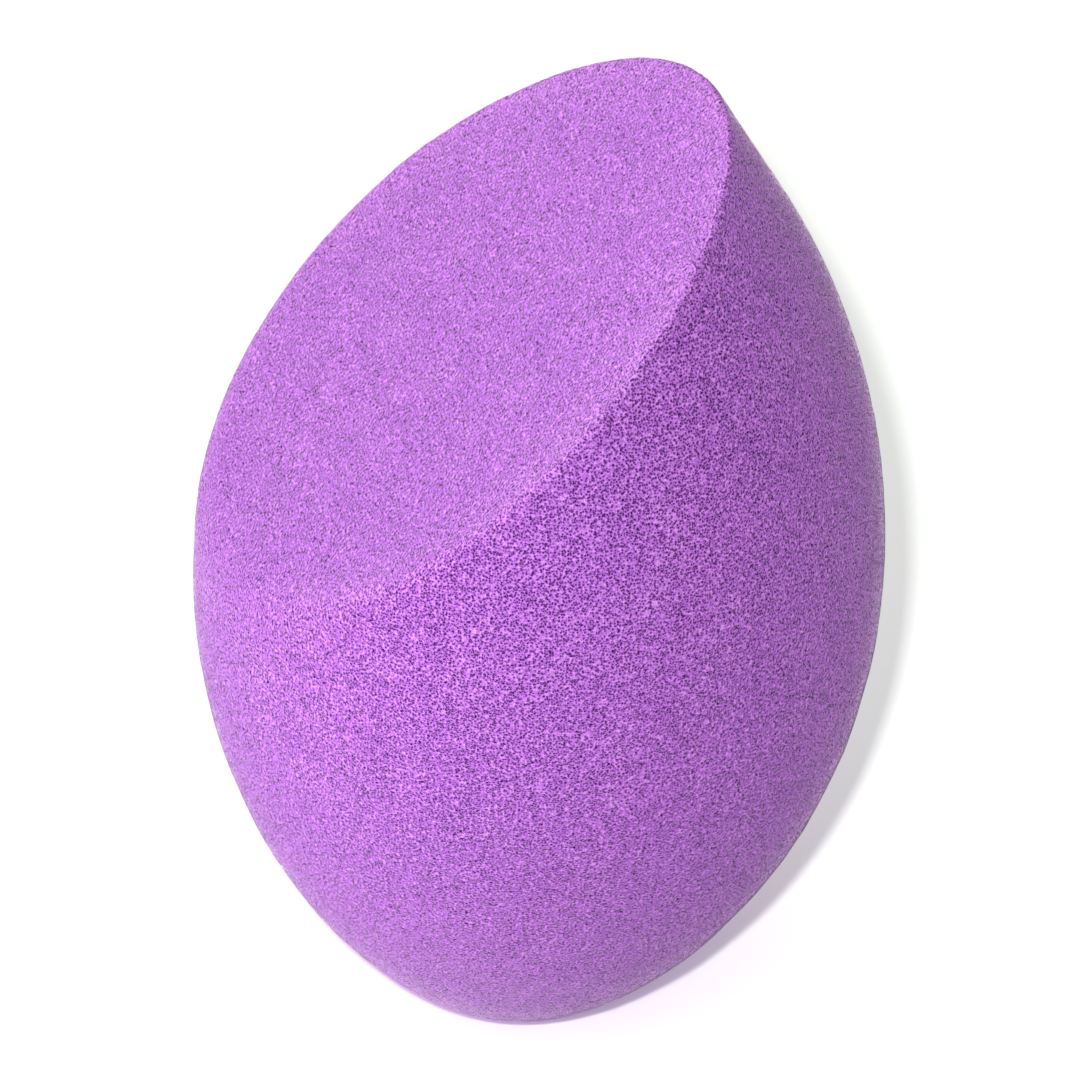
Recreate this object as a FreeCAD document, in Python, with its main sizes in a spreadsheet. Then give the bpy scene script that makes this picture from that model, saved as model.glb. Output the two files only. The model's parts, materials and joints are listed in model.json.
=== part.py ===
import FreeCAD, Part
import math
import os

import Sketcher
from FreeCAD import Vector

# Sizes of the upright sponge, in millimetres, with the slope of its cut in degrees
sizes = {
    "widest_diameter": 42.0,  # across the belly
    "lower_flank_radius": 42.5,  # long arc from the base up to the widest circle
    "upper_flank_radius": 50.0,  # long arc from the widest circle up to the shoulder
    "base_radius": 12.8,  # round lower end
    "base_flat_depth": 0.6,  # foam pressed flat where the sponge stands
    "shoulder_rise": 25.4,  # from the widest circle up to the start of the straight taper
    "tip_radius": 7.0,  # round upper end of the moulded egg, which the cut takes off
    "bevel_slope": 44.0,  # of the slanted cut, from the horizontal
    "bevel_axis_height": 57.4,  # where the cut crosses the sponge's axis
    "bevel_edge_break": 0.3,  # foam worn off the sharp edge of the cut
    "cut_overrun": 12.0,  # how far the cutting wedge runs past the belly, to clear the tip of a wider egg
}

# Points of a sketch element, then the sketch's own axes and its origin
START, END, CENTRE = range(1, 4)
HORIZONTAL_AXIS, VERTICAL_AXIS = range(-1, -3, -1)
ORIGIN = (HORIZONTAL_AXIS, START)

CUBIC_MM_PER_CC = 1000


def make_sheet(doc):
    sheet = doc.addObject("Spreadsheet::Sheet", "dims")
    for row, (alias, value) in enumerate(sizes.items(), start=1):
        sheet.set(f"A{row}", alias.replace("_", " "))
        sheet.set(f"B{row}", str(value))
        sheet.setAlias(f"B{row}", alias)
    doc.recompute()
    return sheet


def upright_sketch(body, name):
    """An empty sketch on the body's XZ plane, which is the sponge's plane of symmetry."""
    sketch = body.newObject("Sketcher::SketchObject", name)
    plane = next(f for f in body.Origin.OriginFeatures if f.Role == "XZ_Plane")
    sketch.AttachmentSupport = (plane, "")
    sketch.MapMode = "FlatFace"
    return sketch


def line(x_from, y_from, x_to, y_to):
    return Part.LineSegment(Vector(x_from, y_from, 0), Vector(x_to, y_to, 0))


def arc(x, y, radius, first_angle, last_angle):
    circle = Part.Circle(Vector(x, y, 0), Vector(0, 0, 1), radius)
    return Part.ArcOfCircle(circle, first_angle, last_angle)


def join(sketch, kind, *places):
    sketch.addConstraint(Sketcher.Constraint(kind, *places))


def drive(sketch, name, expression, kind, *places_and_value):
    """A named dimension of the sketch, bound to the sheet."""
    index = sketch.addConstraint(Sketcher.Constraint(kind, *places_and_value))
    sketch.renameConstraint(index, name)
    sketch.setExpression(f"Constraints.{name}", expression)


def draw_profile(sketch, sheet):
    """Half outline of the uncut egg: foot, base, lower and upper flank, taper, tip and axis."""
    belly_radius = sheet.widest_diameter / 2
    base = sheet.base_radius
    lower = sheet.lower_flank_radius
    upper = sheet.upper_flank_radius
    tip = sheet.tip_radius

    # The flank arcs are centred level with the widest circle, past the axis by these offsets
    lower_offset = lower - belly_radius
    upper_offset = upper - belly_radius
    base_centre_height = base - sheet.base_flat_depth
    base_to_belly = math.sqrt((lower - base) ** 2 - lower_offset**2)
    belly_height = base_centre_height + base_to_belly
    foot_radius = math.sqrt(base**2 - base_centre_height**2)

    # Where the arcs end, as angles of their normals from the horizontal
    foot_angle = -math.atan2(base_centre_height, foot_radius)
    base_angle = -math.atan2(base_to_belly, lower_offset)
    taper_angle = math.asin(sheet.shoulder_rise / upper)
    shoulder_x = upper * math.cos(taper_angle) - upper_offset
    shoulder_height = belly_height + sheet.shoulder_rise
    belly_to_tip = (upper - tip - upper_offset * math.cos(taper_angle)) / math.sin(taper_angle)
    tip_centre_height = belly_height + belly_to_tip
    tip_x = tip * math.cos(taper_angle)
    tip_height = tip_centre_height + tip * math.sin(taper_angle)

    foot_line = sketch.addGeometry(line(0, 0, foot_radius, 0))
    base_arc = sketch.addGeometry(arc(0, base_centre_height, base, foot_angle, base_angle))
    lower_arc = sketch.addGeometry(arc(-lower_offset, belly_height, lower, base_angle, 0))
    upper_arc = sketch.addGeometry(arc(-upper_offset, belly_height, upper, 0, taper_angle))
    taper_line = sketch.addGeometry(line(shoulder_x, shoulder_height, tip_x, tip_height))
    tip_arc = sketch.addGeometry(arc(0, tip_centre_height, tip, taper_angle, math.pi / 2))
    axis_line = sketch.addGeometry(line(0, tip_centre_height + tip, 0, 0))

    join(sketch, "Coincident", foot_line, START, *ORIGIN)
    join(sketch, "Horizontal", foot_line)
    join(sketch, "Coincident", foot_line, END, base_arc, START)
    join(sketch, "Tangent", base_arc, END, lower_arc, START)
    join(sketch, "Tangent", lower_arc, END, upper_arc, START)
    join(sketch, "Horizontal", lower_arc, CENTRE, lower_arc, END)
    join(sketch, "Tangent", upper_arc, END, taper_line, START)
    join(sketch, "Tangent", taper_line, END, tip_arc, START)
    join(sketch, "Coincident", tip_arc, END, axis_line, START)
    join(sketch, "Coincident", axis_line, END, foot_line, START)
    join(sketch, "PointOnObject", base_arc, CENTRE, VERTICAL_AXIS)
    join(sketch, "PointOnObject", tip_arc, CENTRE, VERTICAL_AXIS)
    join(sketch, "PointOnObject", tip_arc, END, VERTICAL_AXIS)

    drive(sketch, "base_round", "dims.base_radius", "Radius", base_arc, base)
    drive(sketch, "lower_round", "dims.lower_flank_radius", "Radius", lower_arc, lower)
    drive(sketch, "upper_round", "dims.upper_flank_radius", "Radius", upper_arc, upper)
    drive(sketch, "tip_round", "dims.tip_radius", "Radius", tip_arc, tip)
    drive(
        sketch, "base_seat", "dims.base_radius - dims.base_flat_depth",
        "DistanceY", *ORIGIN, base_arc, CENTRE, base_centre_height,
    )
    drive(
        sketch, "belly", "dims.widest_diameter / 2",
        "DistanceX", *ORIGIN, lower_arc, END, belly_radius,
    )
    drive(
        sketch, "shoulder", "dims.shoulder_rise",
        "DistanceY", lower_arc, END, taper_line, START, sheet.shoulder_rise,
    )


def draw_bevel_wedge(sketch, sheet):
    """Right triangle over the slanted cut: its long side is the cut, centred on the axis."""
    half_width = sheet.widest_diameter / 2 + sheet.cut_overrun
    slope = math.radians(sheet.bevel_slope)
    crossing = sheet.bevel_axis_height
    low = crossing - half_width * math.tan(slope)
    high = crossing + half_width * math.tan(slope)

    cut = sketch.addGeometry(line(-half_width, low, half_width, high))
    top = sketch.addGeometry(line(half_width, high, -half_width, high))
    side = sketch.addGeometry(line(-half_width, high, -half_width, low))
    middle = sketch.addGeometry(Part.Point(Vector(0, crossing, 0)))

    join(sketch, "Coincident", cut, END, top, START)
    join(sketch, "Coincident", top, END, side, START)
    join(sketch, "Coincident", side, END, cut, START)
    join(sketch, "Horizontal", top)
    join(sketch, "Vertical", side)
    join(sketch, "PointOnObject", middle, START, VERTICAL_AXIS)
    join(sketch, "Symmetric", cut, START, cut, END, middle, START)

    drive(
        sketch, "crossing", "dims.bevel_axis_height",
        "DistanceY", *ORIGIN, middle, START, crossing,
    )
    drive(
        sketch, "width", "dims.widest_diameter + 2 * dims.cut_overrun",
        "DistanceX", cut, START, cut, END, 2 * half_width,
    )
    drive(sketch, "slope", "dims.bevel_slope * 1 deg", "Angle", cut, slope)


def edges_of_bevel(shape):
    """Names of the edges round the slanted face, the one flat face that isn't level."""
    level = Vector(0, 0, 1)
    flat_faces = [f for f in shape.Faces if isinstance(f.Surface, Part.Plane)]
    bevel = next(f for f in flat_faces if not f.Surface.Axis.isParallel(level, Part.Precision.confusion()))
    names = []
    for number, edge in enumerate(shape.Edges, start=1):
        if any(edge.isSame(other) for other in bevel.Edges):
            names.append(f"Edge{number}")
    return names


def make_sponge(doc, sheet):
    """The whole sponge: a revolved egg, cut once on the slant, with the cut's edge broken."""
    body = doc.addObject("PartDesign::Body", "foam_sponge")
    body.Label = "foam_sponge"

    profile = upright_sketch(body, "egg_profile")
    draw_profile(profile, sheet)
    egg = body.newObject("PartDesign::Revolution", "egg")
    egg.Profile = profile
    egg.ReferenceAxis = (profile, ["V_Axis"])
    doc.recompute()

    wedge = upright_sketch(body, "bevel_wedge")
    draw_bevel_wedge(wedge, sheet)
    bevel = body.newObject("PartDesign::Pocket", "bevel_cut")
    bevel.Profile = wedge
    bevel.SideType = "Symmetric"
    bevel.setExpression("Length", "dims.widest_diameter + 2 * dims.cut_overrun")
    doc.recompute()
    if not bevel.Shape.Volume < egg.Shape.Volume:
        raise RuntimeError("the slanted cut takes nothing off the sponge")

    edge = body.newObject("PartDesign::Chamfer", "bevel_edge")
    edge.Base = (bevel, edges_of_bevel(bevel.Shape))
    edge.setExpression("Size", "dims.bevel_edge_break")
    doc.recompute()

    body.Placement = FreeCAD.Placement()
    return body


def check_document(doc):
    for item in doc.Objects:
        if "Invalid" in item.State or "Error" in item.State:
            raise RuntimeError(f"{item.Name} failed: {item.State}")


def export(part):
    shape = part.Shape
    if shape.isNull() or not shape.isValid():
        raise RuntimeError(f"{part.Label} has no valid shape")
    shape.exportStep(f"parts/{part.Label}.step")
    box = shape.BoundBox
    print(
        f"{part.Label}: {len(shape.Solids)} solid, {shape.Volume / CUBIC_MM_PER_CC:.2f} cm3, "
        f"{box.XLength:.2f} x {box.YLength:.2f} x {box.ZLength:.2f} mm"
    )


doc = FreeCAD.newDocument("makeup_sponge")
sheet = make_sheet(doc)
parts = [make_sponge(doc, sheet)]
doc.recompute()
check_document(doc)
os.makedirs("parts", exist_ok=True)
for part in parts:
    export(part)
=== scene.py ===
import json
import math

import bpy
import numpy as np
from mathutils import Matrix, Vector


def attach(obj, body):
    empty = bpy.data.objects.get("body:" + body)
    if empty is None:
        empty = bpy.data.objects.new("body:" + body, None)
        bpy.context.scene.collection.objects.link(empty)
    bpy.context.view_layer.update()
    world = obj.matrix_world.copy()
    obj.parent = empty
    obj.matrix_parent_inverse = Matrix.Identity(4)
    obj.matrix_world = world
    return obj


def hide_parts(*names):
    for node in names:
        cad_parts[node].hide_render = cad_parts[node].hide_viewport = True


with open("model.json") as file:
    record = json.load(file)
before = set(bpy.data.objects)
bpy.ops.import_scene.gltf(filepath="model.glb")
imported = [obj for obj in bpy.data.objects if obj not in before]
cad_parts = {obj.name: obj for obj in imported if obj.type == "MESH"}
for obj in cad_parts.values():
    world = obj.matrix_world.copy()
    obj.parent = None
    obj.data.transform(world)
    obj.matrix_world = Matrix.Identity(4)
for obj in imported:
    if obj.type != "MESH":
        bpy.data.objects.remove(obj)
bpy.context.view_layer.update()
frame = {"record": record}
scene = bpy.context.scene
scene.view_settings.view_transform = "Standard"
mm = 0.001


# Shader maths: a value that came out of a node, with operators that add Math nodes
class Flow:
    def __init__(self, tree, socket=None):
        self.tree, self.socket = tree, socket

    # Any node: its type, its settings, which go in first, then its sockets by name or place
    def node(self, kind, settings=None, sockets=None, out=0):
        made = self.tree.nodes.new(kind)
        for name, value in (settings or {}).items():
            setattr(made, name, value)
        for name, value in (sockets or {}).items():
            if isinstance(value, Flow):
                self.tree.links.new(value.socket, made.inputs[name])
            else:
                made.inputs[name].default_value = value
        if isinstance(out, tuple):
            return [Flow(self.tree, made.outputs[place]) for place in out]
        return Flow(self.tree, made.outputs[out] if made.outputs else None)

    def maths(self, operation, *values, clamp=False):
        settings = {"operation": operation, "use_clamp": clamp}
        return self.node("ShaderNodeMath", settings, dict(enumerate(values)))

    def __add__(self, other):
        return self.maths("ADD", self, other)

    def __sub__(self, other):
        return self.maths("SUBTRACT", self, other)

    def __rsub__(self, other):
        return self.maths("SUBTRACT", other, self)

    def __mul__(self, other):
        return self.maths("MULTIPLY", self, other)

    __radd__, __rmul__ = __add__, __mul__

    # 0 below low, 1 above high, and an S-curve between them
    def step(self, low, high):
        settings = {"interpolation_type": "SMOOTHSTEP"}
        sockets = {"Value": self, "From Min": low, "From Max": high}
        return self.node("ShaderNodeMapRange", settings, sockets)

    # From one colour to the other as this value goes from 0 to 1
    def colours(self, first, last):
        sockets = {"Factor": self, 6: first, 7: last}  # places of the two colours
        return self.node("ShaderNodeMix", {"data_type": "RGBA"}, sockets, out=2)


def newMaterial(name):
    material = bpy.data.materials.new(name)
    material.use_nodes = True
    material.node_tree.nodes.clear()
    return material, Flow(material.node_tree)


# Sponge, in millimetres: an egg round the Z axis, cut flat on the slant
egg = {
    "bellyRadius": 21.0,
    "base": 12.8,  # radii of the outline's arcs, from the base to the tip
    "lowerFlank": 42.5,
    "upperFlank": 50.0,
    "tip": 7.0,  # above the cut, which takes it off
    "shoulderRise": 25.4,  # from the belly up to the end of the upper flank's arc
    "footDepth": 0.6,  # foam pressed flat where it stands
    "arcPoints": 1500,  # points on each arc of the outline
    "edgeTurns": 2881,  # places round the egg and up its outline, where the cut's edge is looked for
    "edgeRises": 3000,
    "middlePoints": 400,  # points of the edge that give the middle of the cut
    "bandStart": 0.98,  # lower end of the band, as a share of the way from the foot to the flank
    "quarter": 160,  # grid steps to a quarter of the way round
    "rows": 236,  # grid steps from the base up to the edge
    "looseness": 0.34,  # how far a grid point strays, in steps
    "edgeReach": 0.28,  # how far from the cut's edge the rounding starts, at its high end
    "lowReach": 2.0,  # and at its low end
    "justBelow": 0.97,  # place on the band that gives the slope below the edge
    "highlightBelow": 0.4,  # how far the painted highlight along the edge reaches on each side
    "highlightAbove": 2.2,
    "lumps": ((6.0, 0.012), (1.6, 0.006)),  # wavelength and height of the unevenness
    "pitDepth": 0.07,
    "pitLeast": 0.45,  # depth of the shallowest pit, as a share of the deepest
    "rimMost": 0.1,  # and of the lowest place between pits
    "cutFlatter": 0.4,  # how much shallower pits are on the cut
    "seed": 11,
}


# The outline: foot, base arc, two flank arcs, straight taper and tip arc as runs of points,
# with the length along them as the parameter
def eggOutline(form):
    lowerShift = form["lowerFlank"] - form["bellyRadius"]
    upperShift = form["upperFlank"] - form["bellyRadius"]
    baseHeight = form["base"] - form["footDepth"]
    belly = baseHeight + math.sqrt((form["lowerFlank"] - form["base"]) ** 2 - lowerShift**2)
    baseTurn = -math.atan2(belly - baseHeight, lowerShift)
    taper = math.asin(form["shoulderRise"] / form["upperFlank"])
    tipGap = form["upperFlank"] - form["tip"] - upperShift * math.cos(taper)
    tipHeight = belly + tipGap / math.sin(taper)
    footTurn = -math.acos(math.sqrt(form["base"] ** 2 - baseHeight**2) / form["base"])

    def arc(x, z, radius, first, last):
        turn = np.linspace(first, last, form["arcPoints"])
        return np.stack([x + radius * np.cos(turn), z + radius * np.sin(turn)], 1)

    runs = [
        np.zeros((1, 2)),
        arc(0, baseHeight, form["base"], footTurn, baseTurn),
        arc(-lowerShift, belly, form["lowerFlank"], baseTurn, 0),
        arc(-upperShift, belly, form["upperFlank"], 0, taper),
        arc(0, tipHeight, form["tip"], taper, math.pi / 2),
    ]
    points = np.concatenate(runs)
    length = np.concatenate([[0], np.cumsum(np.hypot(*np.diff(points, axis=0).T))])
    return length, points, baseTurn


# A point of a square grid as a ring round its middle, 0 to 1, and a turn along that ring, 0 to 1,
# so that the rim of the grid meets a closed loop of four times as many points
def ringAndTurn(x, y):
    ring = np.maximum(np.abs(x), np.abs(y))
    safe = np.maximum(ring, 1e-9)
    side = np.select([(x >= safe) & (y < safe), y >= safe, x <= -safe], [0, 1, 2], 3)
    along = np.select([side == 0, side == 1, side == 2], [y, -x, -y], x) / safe
    return ring, (side + (along + 1) / 2) / 4 % 1


# Sums of plane waves in random directions: an even unevenness with no grain of its own
def unevenness(points, rng, wavelength, height, count=18, spread=(0.75, 1.35)):
    way = rng.normal(size=(count, 3))
    way /= np.linalg.norm(way, axis=1, keepdims=True)
    bend = rng.uniform(*spread, count) * 2 * math.pi / wavelength
    phase = rng.uniform(0, 2 * math.pi, count)
    return height * math.sqrt(2 / count) * np.sin(points @ (way * bend[:, None]).T + phase).sum(1)


# The sponge's surface. A band runs from a ring on the base up to the cut's edge, and a square grid
# fills each end: over the cut, straight from its middle to the edge, and under the base, along the
# outline. Near the edge both sides bend into a curve whose control point is the sharp corner.
def spongeSurface(form, cutPlace, cutNormal):
    rng = np.random.default_rng(form["seed"])
    length, outline, baseTurn = eggOutline(form)
    around, rows, quarter = 4 * form["quarter"], form["rows"], form["quarter"]
    flankStart = form["base"] * (1 - math.cos(baseTurn + math.pi / 2))
    baseLength = np.interp(flankStart, outline[:, 1], length) * form["bandStart"]

    def onEgg(along, turn):
        radius = np.interp(along, length, outline[:, 0])
        height = np.interp(along, length, outline[:, 1])
        return np.stack([radius * np.cos(turn), radius * np.sin(turn), height + 0 * turn], -1)

    # Where each upright outline meets the cut, and the length along the edge up to there
    fine = np.linspace(0, 2 * math.pi, form["edgeTurns"])
    tall = np.linspace(0, length[-1], form["edgeRises"])
    above = (onEgg(tall[None, :], fine[:, None]) - cutPlace) @ cutNormal
    first = np.argmax(above > 0, axis=1)
    pick = np.arange(len(fine))
    share = above[pick, first] / (above[pick, first] - above[pick, first - 1])
    edgeLength = tall[first] - share * (tall[1] - tall[0])
    edge = onEgg(edgeLength, fine)
    run = np.concatenate([[0], np.cumsum(np.linalg.norm(np.diff(edge, axis=0), axis=1))])

    # turn: place round the band, 0 to 1, evenly spaced along the edge
    def atEdge(turn):
        whole = np.floor(turn)
        angle = np.interp(turn - whole, run / run[-1], fine)
        return angle + whole * 2 * math.pi, np.interp(angle, fine, edgeLength)

    # The edge's spacing gives way to even angles as rise goes from 1 down to 0
    def onBand(turn, rise):
        edgeAngle, edgeRise = atEdge(turn)
        blend = rise**2 * (3 - 2 * rise)
        angle = turn * 2 * math.pi + (edgeAngle - turn * 2 * math.pi) * blend
        return onEgg(baseLength + (edgeRise - baseLength) * rise, angle)

    def onEdge(turn):
        angle, rise = atEdge(turn)
        return onEgg(rise, angle)

    loose = form["looseness"]
    column, row = np.meshgrid(np.arange(around), np.arange(rows + 1))
    stray = rng.uniform(-loose, loose, (2, rows + 1, around))
    stray[1, [0, -1]] = 0
    turn = (column + stray[0]) / around
    rise = (row + stray[1]) / rows
    band = onBand(turn, rise)

    inside = np.stack(np.meshgrid(np.arange(1, quarter), np.arange(1, quarter), indexing="ij"))

    # Points inside a square grid, each strayed a little, as rings and turns
    def looseGrid():
        strayed = inside + rng.uniform(-loose, loose, inside.shape)
        return ringAndTurn(*(2 * strayed / quarter - 1))

    cutRing, cutTurn = looseGrid()
    baseRing, baseTurns = looseGrid()
    rim = onEdge(cutTurn)
    middle = onEdge(np.linspace(0, 1, form["middlePoints"], endpoint=False)).mean(0)
    top = middle + cutRing[..., None] * (rim - middle)
    under = onEgg(baseRing * baseLength, baseTurns * 2 * math.pi)

    # 1 at the edge's low end, where the foam is softest, and 0 at its high end
    def lowness(turn):
        height = onEdge(turn)[..., 2]
        return ((edge[:, 2].max() - height) / np.ptp(edge[:, 2])) ** 3

    # Rounding of the edge. gap: distance from the edge, less than 0 below the cut
    def rounded(points, turns, gap):
        corner = onEdge(turns)
        down = onBand(turns, np.full_like(turns, form["justBelow"])) - corner
        inward = middle - corner
        down /= np.linalg.norm(down, axis=-1, keepdims=True)
        inward /= np.linalg.norm(inward, axis=-1, keepdims=True)
        reach = form["edgeReach"] + (form["lowReach"] - form["edgeReach"]) * lowness(turns)
        half = ((1 - np.abs(gap) / reach) / 2)[..., None]
        below = gap[..., None] < 0
        own, other = np.where(below, down, inward), np.where(below, inward, down)
        bent = corner + reach[..., None] * ((1 - half) ** 2 * own + half**2 * other)
        return np.where((np.abs(gap) < reach)[..., None], bent, points)

    bandGap = -np.linalg.norm(band - onEdge(turn), axis=-1)
    topGap = np.linalg.norm(top - rim, axis=-1)
    band, top = rounded(band, turn, bandGap), rounded(top, cutTurn, topGap)
    # Painted highlight along the cut's edge, on both sides, fading towards its low end
    belowCut = np.exp(bandGap / form["highlightBelow"]) * (1 - lowness(turn))
    inCut = np.exp(-topGap / form["highlightAbove"]) * (1 - lowness(cutTurn))
    inBase = np.zeros(baseRing.size)
    edgeHighlight = np.concatenate([belowCut.ravel(), inCut.ravel(), inBase])
    sliced = np.concatenate([np.zeros(belowCut.size), np.ones(inCut.size), inBase])

    # Corner numbers of all four-sided faces, with the grids' rims taken from the band
    ids = np.arange((rows + 1) * around).reshape(rows + 1, around)
    nextIds = np.roll(ids, -1, 1)
    quads = [np.stack([ids[:-1], nextIds[:-1], nextIds[1:], ids[1:]], -1).reshape(-1, 4)]
    firstInside = ids.size
    whole = np.arange(quarter + 1) * 2 / quarter - 1
    gridTurn = ringAndTurn(*np.meshgrid(whole, whole, indexing="ij"))[1]
    for rimRow, flip in ((rows, False), (0, True)):
        grid = ids[rimRow][np.round(gridTurn * around).astype(int) % around]
        grid[1:-1, 1:-1] = firstInside + np.arange((quarter - 1) ** 2).reshape(quarter - 1, -1)
        firstInside += (quarter - 1) ** 2
        faces = np.stack([grid[:-1, :-1], grid[1:, :-1], grid[1:, 1:], grid[:-1, 1:]], -1).reshape(-1, 4)
        quads.append(faces[:, ::-1] if flip else faces)
    points = np.concatenate([band.reshape(-1, 3), top.reshape(-1, 3), under.reshape(-1, 3)])
    bandEven, gridEven = (column + row) % 2 == 0, inside.sum(0) % 2 == 0
    checker = np.concatenate([bandEven.ravel(), gridEven.ravel(), gridEven.ravel()])
    return points, np.concatenate(quads), checker, edgeHighlight, sliced, rng


# A smooth mesh from points in metres and four-sided faces
def gridMesh(name, points, quads):
    mesh = bpy.data.meshes.new(name)
    mesh.vertices.add(len(points))
    mesh.vertices.foreach_set("co", np.ascontiguousarray(points, np.float32).ravel())
    mesh.loops.add(quads.size)
    mesh.loops.foreach_set("vertex_index", np.ascontiguousarray(quads, np.int32).ravel())
    mesh.polygons.add(len(quads))
    mesh.polygons.foreach_set("loop_start", np.arange(0, quads.size, 4, dtype=np.int32))
    mesh.update(calc_edges=True)
    mesh.shade_smooth()
    return mesh


cutMount = next(m for m in frame["record"]["mounts"] if m["name"] == "bevel_face")
cutPlace, cutNormal = np.array(cutMount["pos_m"]) / mm, np.array(cutMount["axis"])
points, quads, checker, edgeHighlight, sliced, rng = spongeSurface(egg, cutPlace, cutNormal)
print("sponge surface:", len(points), "points,", 2 * len(quads), "triangles")

# Outward directions: each face's diagonals crossed, added up at its corners
corners = points[quads]
across = np.cross(corners[:, 2] - corners[:, 0], corners[:, 3] - corners[:, 1])
normals = np.zeros_like(points)
for corner in quads.T:
    np.add.at(normals, corner, across)
normals /= np.linalg.norm(normals, axis=1, keepdims=True)

# Pits: every other point of the grid sinks, some far and some less, and the rest hardly at all
deep = egg["pitLeast"] + (1 - egg["pitLeast"]) * rng.random(len(points))
shallow = egg["rimMost"] * rng.random(len(points))
pit = np.where(checker, deep, shallow) * (1 - egg["cutFlatter"] * sliced)
sunk = -egg["pitDepth"] * pit
for wavelength, height in egg["lumps"]:
    sunk += unevenness(points, rng, wavelength, height)
points += normals * sunk[:, None]
points[:, 2] = np.maximum(points[:, 2], 0)  # the foot stays flat on the floor

# Each face is split along its higher diagonal, so that a pit has only rims round it
depth = sunk[quads]
low = depth[:, 0] + depth[:, 2] < depth[:, 1] + depth[:, 3]
quads[low] = np.roll(quads[low], 1, axis=1)
mesh = gridMesh("foam_block", points * mm, quads)
for name, values in (("pit", pit), ("edgeHighlight", edgeHighlight), ("sliced", sliced)):
    mesh.attributes.new(name, "FLOAT", "POINT").data.foreach_set("value", values.astype(np.float32))
sponge = bpy.data.objects.new("foam_block", mesh)
scene.collection.objects.link(sponge)
print("pits:", int(checker.sum()), "of up to", egg["pitDepth"], "mm")

# Foam: pale struts round dark pores of three sizes, a little paler in broad patches. The pores' darkness
# is painted shade, and the struts' paleness partly a painted highlight
foam = {
    "strut": (0.825, 0.352, 0.957, 1),
    "wall": (0.53, 0.158, 0.754, 1),
    # colour of the painted shade at the bottom of a pore
    "pore": (0.035, 0.002, 0.075, 1),
    # Pores: mm from one to the next, radii of the dark core and the rim in those steps, least darkness;
    # the darkness is painted shade
    "tiny": (0.105, 0.15, 0.55, 0.4),
    "fine": (0.155, 0.25, 0.5, 0.75),
    "large": (0.4, 0.12, 0.28, 0.7),
    "scatter": 0.85,  # how unevenly the pores lie
    "tinyShade": 0.55,  # painted shade of the tiny pores beside the others
    "poreShade": 0.98,  # painted shade in all pores
    "cutPaler": 0.07,  # and how much less it is on the cut
    "pitShade": 0.22,  # painted shade in the mesh's pits
    "pitRange": (0.55, 1.0),  # depth over which it sets in
    "strutRange": (0.52, 0.9),  # steps from a fine pore, over which wall turns into strut, paler partly as a painted highlight on the raised rims
    "edgeHighlightTone": 0.3,  # how much paler the cut's edge is, a painted highlight
    "patchTone": 0.4,  # and how far the patches differ
    "patchScale": 0.3,  # patches to a mm
    "patchDetail": 3.0,
    "poreDepth": 0.035,  # mm, for the bump
    "roughness": 0.8,
    "poreRougher": 0.15,
    "shine": 0.1,
    "fuzz": 1.0,  # sheen of the cut cell walls
    "fuzzRoughness": 0.2,
    "fuzzTint": (1.0, 0.85, 1.0, 1),
}


def foamMaterial(look):
    material, flow = newMaterial("purple_foam")
    place = flow.node("ShaderNodeTexCoord", out="Object")
    place = flow.node("ShaderNodeVectorMath", {"operation": "SCALE"}, {0: place, "Scale": 1 / mm})

    def attribute(name):
        return flow.node("ShaderNodeAttribute", {"attribute_name": name}, out="Fac")

    # Round hollows, one to a cell, darkened by painted shade, some of them shallow, and the distance to
    # the nearest one
    def hollows(size, core, rim, least):
        sockets = {"Vector": place, "Scale": 1 / size, "Randomness": look["scatter"]}
        outs = ("Distance", "Color")
        near, own = flow.node("ShaderNodeTexVoronoi", {"feature": "F1"}, sockets, out=outs)
        luck = flow.node("ShaderNodeSeparateColor", None, {0: own})
        return (1 - near.step(core, rim)) * (least + (1 - least) * luck), near

    tiny, _ = hollows(*look["tiny"])
    fine, near = hollows(*look["fine"])
    large, _ = hollows(*look["large"])
    # Painted shade: the pores and the mesh's pits are darkened where shade falls in them
    pore = 1 - (1 - look["tinyShade"] * tiny) * (1 - fine) * (1 - large)
    pitShade = look["pitShade"] * attribute("pit").step(*look["pitRange"])
    poreShade = (look["poreShade"] - look["cutPaler"] * attribute("sliced")) * pore
    dark = 1 - (1 - pitShade) * (1 - poreShade)

    sockets = {"Vector": place, "Scale": look["patchScale"], "Detail": look["patchDetail"]}
    patches = (flow.node("ShaderNodeTexNoise", None, sockets) - 0.5) * look["patchTone"]
    # Paler towards the struts, partly a painted highlight, and along the cut's edge by a painted
    # highlight
    paler = near.step(*look["strutRange"]) + attribute("edgeHighlight") * look["edgeHighlightTone"]
    tone = flow.maths("ADD", paler, patches, clamp=True)
    colour = dark.colours(tone.colours(look["wall"], look["strut"]), look["pore"])
    sockets = {"Strength": 1.0, "Distance": look["poreDepth"] * mm, "Height": 1 - pore}
    bump = flow.node("ShaderNodeBump", None, sockets)
    sockets = {
        "Base Color": colour,
        "Roughness": look["roughness"] + look["poreRougher"] * dark,
        "Specular IOR Level": look["shine"],
        "Sheen Weight": look["fuzz"],
        "Sheen Roughness": look["fuzzRoughness"],
        "Sheen Tint": look["fuzzTint"],
        "Normal": bump,
    }
    shader = flow.node("ShaderNodeBsdfPrincipled", None, sockets)
    flow.node("ShaderNodeOutputMaterial", None, {"Surface": shader})
    return material


mesh.materials.append(foamMaterial(foam))
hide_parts("foam_sponge")
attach(sponge, "root")
print("foam material on the sponge")

# Floor: white paper, whose colour for the camera makes up for the room's low light
floorLook = {
    "size": 6.0,  # metres
    "colour": (0.9, 0.9, 0.9, 1),
    "seenColour": (1.8, 1.86, 1.77, 1),  # a touch green, against the sponge's tint in the shadow
    "fade": (0.12, 0.4),  # metres from the sponge, over which the floor turns into the background
    "background": (1, 1, 1, 1),
}


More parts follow.
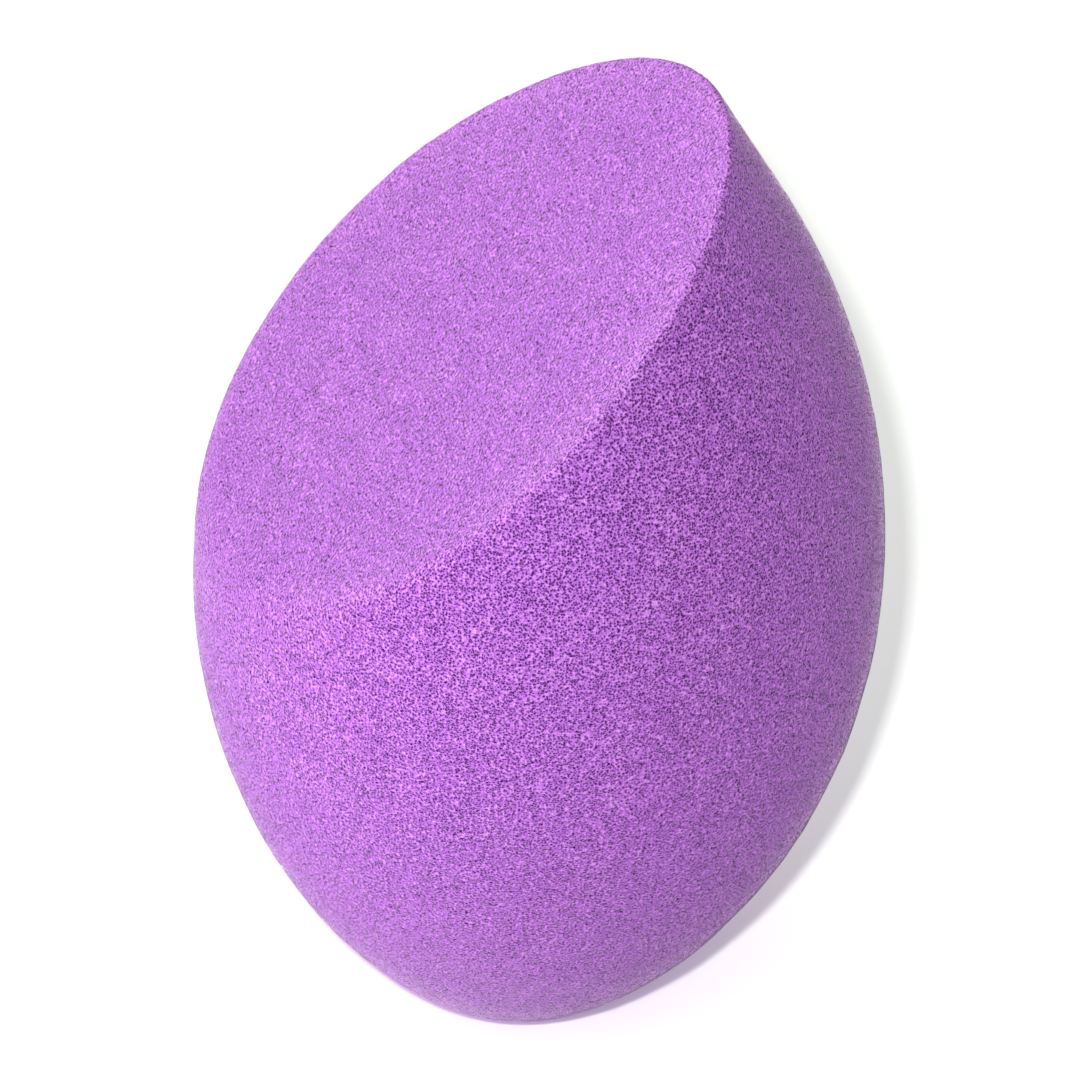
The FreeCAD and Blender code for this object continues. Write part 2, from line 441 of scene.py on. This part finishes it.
# A square grid of nine points, flat at height 0
def floorMesh(size):
    line = np.array([-0.5, 0, 0.5]) * size
    x, y = np.meshgrid(line, line)
    ids = np.arange(9).reshape(3, 3)
    faces = np.stack([ids[:-1, :-1], ids[:-1, 1:], ids[1:, 1:], ids[1:, :-1]], -1).reshape(-1, 4)
    return gridMesh("floor", np.stack([x, y, 0 * x], -1).reshape(-1, 3), faces)


# 1 for the camera and for what shines or is clear, 0 for light on its way to the sponge
def seenRay(flow):
    seen = flow.node("ShaderNodeLightPath", out="Is Camera Ray")
    for out in ("Is Glossy Ray", "Is Transmission Ray"):
        seen = seen.maths("MAXIMUM", seen, flow.node("ShaderNodeLightPath", out=out))
    return seen


floor = bpy.data.objects.new("floor", floorMesh(floorLook["size"]))
scene.collection.objects.link(floor)
paper, flow = newMaterial("white_floor")
matte = flow.node("ShaderNodeBsdfDiffuse", None, {"Color": floorLook["colour"]})
white = flow.node("ShaderNodeBsdfDiffuse", None, {"Color": floorLook["seenColour"]})
place = flow.node("ShaderNodeTexCoord", out="Object")
far = flow.node("ShaderNodeVectorMath", {"operation": "LENGTH"}, {0: place}, out="Value")
far = far.step(*floorLook["fade"])
backdrop = flow.node("ShaderNodeEmission", None, {"Color": floorLook["background"], "Strength": 1.0})
white = flow.node("ShaderNodeMixShader", None, {0: far, 1: white, 2: backdrop})
lit = flow.node("ShaderNodeMixShader", None, {0: seenRay(flow), 1: matte, 2: white})
flow.node("ShaderNodeOutputMaterial", None, {"Surface": lit})
floor.data.materials.append(paper)
print("floor laid")

# Camera: looks down at the belly from the front left of the cut, and leans a little
shot = {
    "target": (0, 0, 32.69),  # mm, middle of the belly
    "away": 420.0,  # mm
    "azimuth": -17.08,  # degrees
    "elevation": 39.12,
    "lean": 3.93,
    "lens": 230.05,  # mm, as is the sensor
    "sensor": 36,
    "clipStart": 0.01,  # metres
    "aim": (0.111, 1.497),  # mm, right and up from the target to the picture's middle
}


# Direction towards a place round the sponge: azimuth 0 is in front, and elevation is above the floor
def wayTo(azimuth, elevation):
    turn, rise = math.radians(azimuth), math.radians(elevation)
    return Vector((math.sin(turn) * math.cos(rise), -math.cos(turn) * math.cos(rise), math.sin(rise)))


# Looks from a place at a target, with Z up in the picture
def looking(place, target):
    return (target - place).to_track_quat("-Z", "Y").to_matrix()


target = Vector(shot["target"]) * mm
eye = target + wayTo(shot["azimuth"], shot["elevation"]) * shot["away"] * mm
lean = Matrix.Rotation(math.radians(shot["lean"]), 3, "Z")
turned = looking(eye, target) @ lean
aim = target + (turned.col[0] * shot["aim"][0] + turned.col[1] * shot["aim"][1]) * mm
camera = bpy.data.objects.new("camera", bpy.data.cameras.new("camera"))
camera.data.sensor_width = shot["sensor"]
camera.data.lens = shot["lens"]
camera.data.clip_start = shot["clipStart"]
camera.matrix_world = Matrix.Translation(eye) @ (looking(eye, aim) @ lean).to_4x4()
scene.collection.objects.link(camera)
scene.camera = camera

# Light: a plain white room, a wide low lamp on the picture's left, and a small one by the camera,
# which throws the shadow along the right side
light = {
    "room": 0.34,
    "colour": (1, 1, 1, 1),
    # Name, turn from the camera, height in degrees, distance, width and height in metres, watts
    "lamps": (
        ("side_lamp", -70, 4, 0.7, 1.0, 0.1, 4.75),
        ("shadow_lamp", -3, shot["elevation"] + 2.7, 0.42, 0.011, 0.011, 0.76),
    ),
}

room = bpy.data.worlds.new("white_room")
scene.world = room
room.use_nodes = True
room.node_tree.nodes.clear()
flow = Flow(room.node_tree)
seen = seenRay(flow)
strength = seen + (1 - seen) * light["room"]  # white where it is seen
sky = flow.node("ShaderNodeBackground", None, {"Color": light["colour"], "Strength": strength})
flow.node("ShaderNodeOutputWorld", None, {"Surface": sky})
for name, turn, rise, away, width, height, watts in light["lamps"]:
    lamp = bpy.data.objects.new(name, bpy.data.lights.new(name, "AREA"))
    lamp.data.energy = watts
    lamp.data.shape = "RECTANGLE"
    lamp.data.size, lamp.data.size_y = width, height
    place = target + wayTo(shot["azimuth"] + turn, rise) * away
    lamp.matrix_world = Matrix.Translation(place) @ looking(place, target).to_4x4()
    scene.collection.objects.link(lamp)
print("camera and light set")
